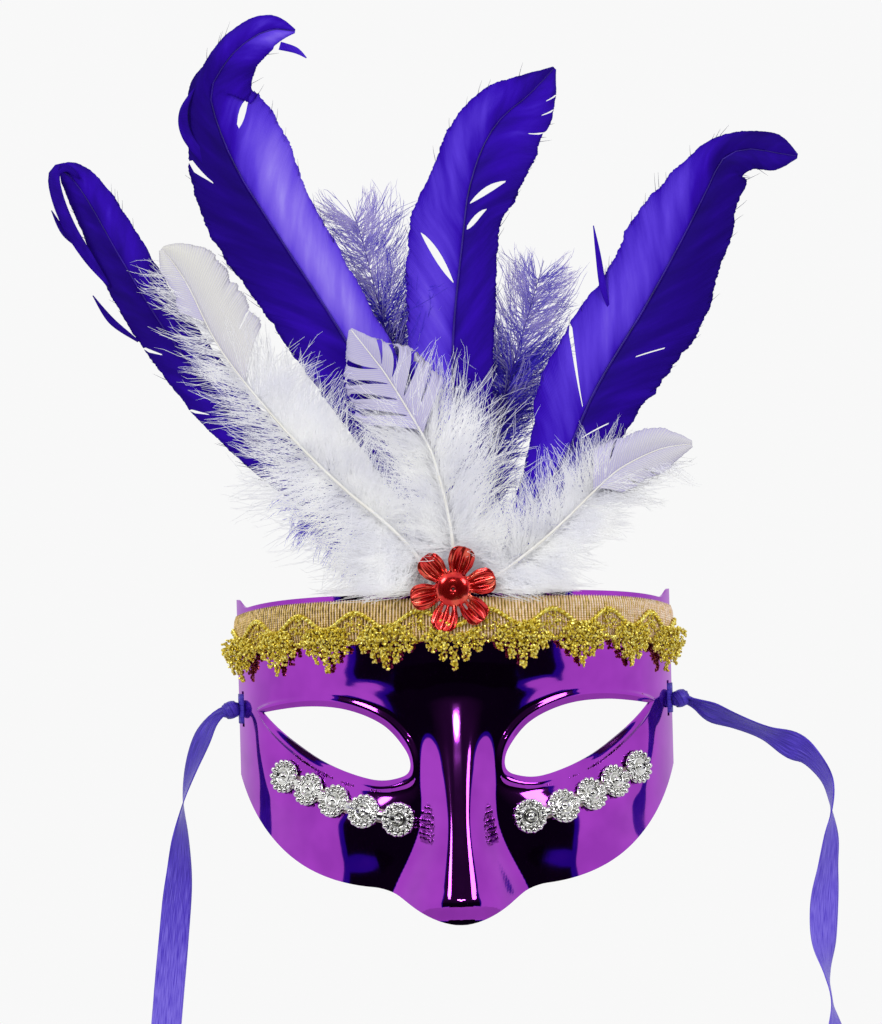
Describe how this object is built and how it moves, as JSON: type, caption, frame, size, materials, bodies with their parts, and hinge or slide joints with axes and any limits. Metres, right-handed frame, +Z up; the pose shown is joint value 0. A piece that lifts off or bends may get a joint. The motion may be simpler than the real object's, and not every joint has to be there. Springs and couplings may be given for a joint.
{
  "type": "venetian masquerade mask",
  "caption": "Curved half-face party mask in metallic purple with a gold braid brow, a foil flower, rosette strips, a feather fan and tie ribbons.",
  "frame": {"origin": "inside of the nose bridge at eye height on the middle plane, where the mask rests on the wearer", "axes": "+Z up as worn, -Y the way the mask faces, +X to the right as seen from the front"},
  "size_m": [0.3018, 0.0889, 0.5588],
  "materials": {
    "purple_plated_plastic": "mirror-bright metallised purple over thin formed sheet",
    "clear_glue": "cloudy hot-melt glue",
    "gold_braid": "ribbed metallic-yarn band, pinkish gold",
    "gold_cord": "twisted metallic gold cord",
    "gold_fringe": "beaded metallic gold loops",
    "red_foil": "stamped red metallised foil",
    "silver_plated_plastic": "moulded beads with a silver plating",
    "grey_felt": "pressed felt",
    "purple_feather": "dyed violet-blue vane feather with a sheen",
    "white_feather": "white downy feather",
    "lilac_down": "pale lilac-grey down",
    "purple_satin": "satin ribbon, blue-violet"
  },
  "bodies": {
    "mask": {"mask_shell": "purple_plated_plastic", "braid_glue": "clear_glue", "braid_band": "gold_braid", "braid_cord": "gold_cord", "braid_fringe": "gold_fringe", "flower_glue": "clear_glue", "foil_flower": "red_foil", "left_rosette_glue": "clear_glue", "left_rosette_strip": "silver_plated_plastic", "right_rosette_glue": "clear_glue", "right_rosette_strip": "silver_plated_plastic", "quill_glue": "clear_glue", "quill_patch": "grey_felt", "purple_feather_far_left": "purple_feather", "purple_feather_left": "purple_feather", "purple_feather_centre": "purple_feather", "purple_feather_right": "purple_feather", "white_feather_left": "white_feather", "white_feather_centre": "white_feather", "white_feather_right": "white_feather", "lilac_down_left": "lilac_down", "lilac_down_right": "lilac_down"},
    "left_ribbon": {"left_ribbon_loop": "purple_satin", "left_ribbon_knot": "purple_satin", "left_ribbon_tail": "purple_satin"},
    "right_ribbon": {"right_ribbon_loop": "purple_satin", "right_ribbon_knot": "purple_satin", "right_ribbon_tail": "purple_satin"}
  },
  "joints": [
    {"name": "left_ribbon_swing", "type": "hinge", "parent": "mask", "child": "left_ribbon", "pos_m": [-0.0845, 0.06411, 0.014], "axis": [0, 0, -1], "range_deg": [-30, 90]},
    {"name": "right_ribbon_swing", "type": "hinge", "parent": "mask", "child": "right_ribbon", "pos_m": [0.0845, 0.06411, 0.014], "axis": [0, 0, 1], "range_deg": [-30, 90]}
  ]
}
